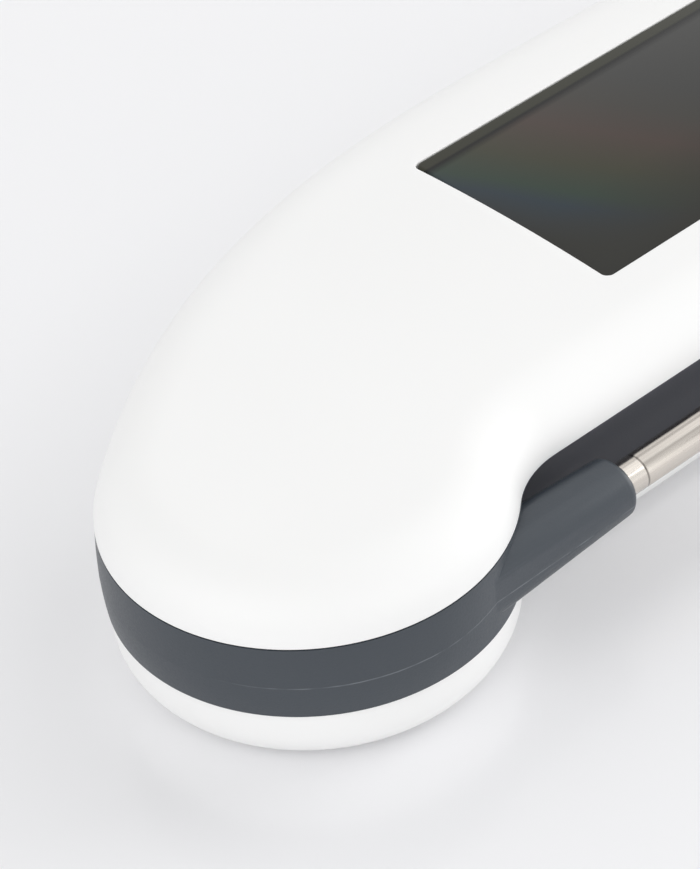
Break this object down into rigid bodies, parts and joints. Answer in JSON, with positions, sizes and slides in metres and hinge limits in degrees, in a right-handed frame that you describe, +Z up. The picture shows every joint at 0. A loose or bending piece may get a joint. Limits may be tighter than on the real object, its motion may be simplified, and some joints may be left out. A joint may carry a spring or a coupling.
{
  "type": "folding meat thermometer",
  "caption": "Pocket meat thermometer with a steel probe that folds on a grey drum into a channel along its white curved case, with a dark display window.",
  "frame": {"origin": "where the fold axis meets the surface that the case lies on, under the drum", "axes": "+X from the fold axis to the butt end, +Y away from the folded probe, +Z up through the display"},
  "size_m": [0.154, 0.049, 0.019],
  "materials": {
    "shell": "satin moulded ABS, fine spark texture",
    "drum": "matte blue-grey moulded plastic, fine texture",
    "liner": "matte dark grey moulded plastic",
    "window": "hard-coated smoked acrylic",
    "steel": "drawn stainless tube, fine lengthwise polish",
    "plated": "nickel-plated steel",
    "rubber": "black silicone rubber",
    "glass": "liquid-crystal glass with polariser",
    "diffuser": "white light-spreading plastic",
    "board": "green solder resist on glass-fibre board",
    "chip": "black moulded epoxy",
    "cell": "plain printed sleeve on a steel can",
    "wire": "enamel and sleeve on thin wire"
  },
  "bodies": {
    "housing": {"front_shell": "shell", "rear_shell": "shell", "battery_cover": "shell", "channel_liner": "liner", "display_window": "window", "pivot_spindle": "plated", "spindle_clip": "plated", "wave_washer": "plated", "battery_contact_positive": "plated", "battery_contact_negative": "plated", "battery_cover_screw": "plated", "case_screw_1": "plated", "case_screw_2": "plated", "case_screw_3": "plated", "case_screw_4": "plated", "window_gasket": "rubber", "lcd_connector_left": "rubber", "lcd_connector_right": "rubber", "battery_cover_seal": "rubber", "case_gasket": "rubber", "lcd_glass": "glass", "backlight_panel": "diffuser", "main_board": "board", "processor_chip": "chip", "motion_sensor_chip": "chip", "fold_sensor": "chip", "settings_block": "chip", "battery": "cell", "board_lead": "wire"},
    "probe_arm": {"probe_hub_upper": "drum", "probe_hub_lower": "drum", "hub_seal_upper": "rubber", "hub_seal_lower": "rubber", "probe_tube": "steel", "probe_tip": "steel", "thermocouple_lead": "wire", "fold_magnet": "plated"},
    "settings_slider_1": {"settings_slider_1": "diffuser"},
    "settings_slider_2": {"settings_slider_2": "diffuser"}
  },
  "joints": [
    {"name": "probe_fold", "type": "hinge", "parent": "housing", "child": "probe_arm", "pos_m": [0, 0, 0.0095], "axis": [0, 0, -1], "range_deg": [0, 180]},
    {"name": "settings_slide_1", "type": "slide", "parent": "housing", "child": "settings_slider_1", "axis": [0, 1, 0], "range_m": [0, 0.0012]},
    {"name": "settings_slide_2", "type": "slide", "parent": "housing", "child": "settings_slider_2", "axis": [0, 1, 0], "range_m": [0, 0.0012]}
  ]
}
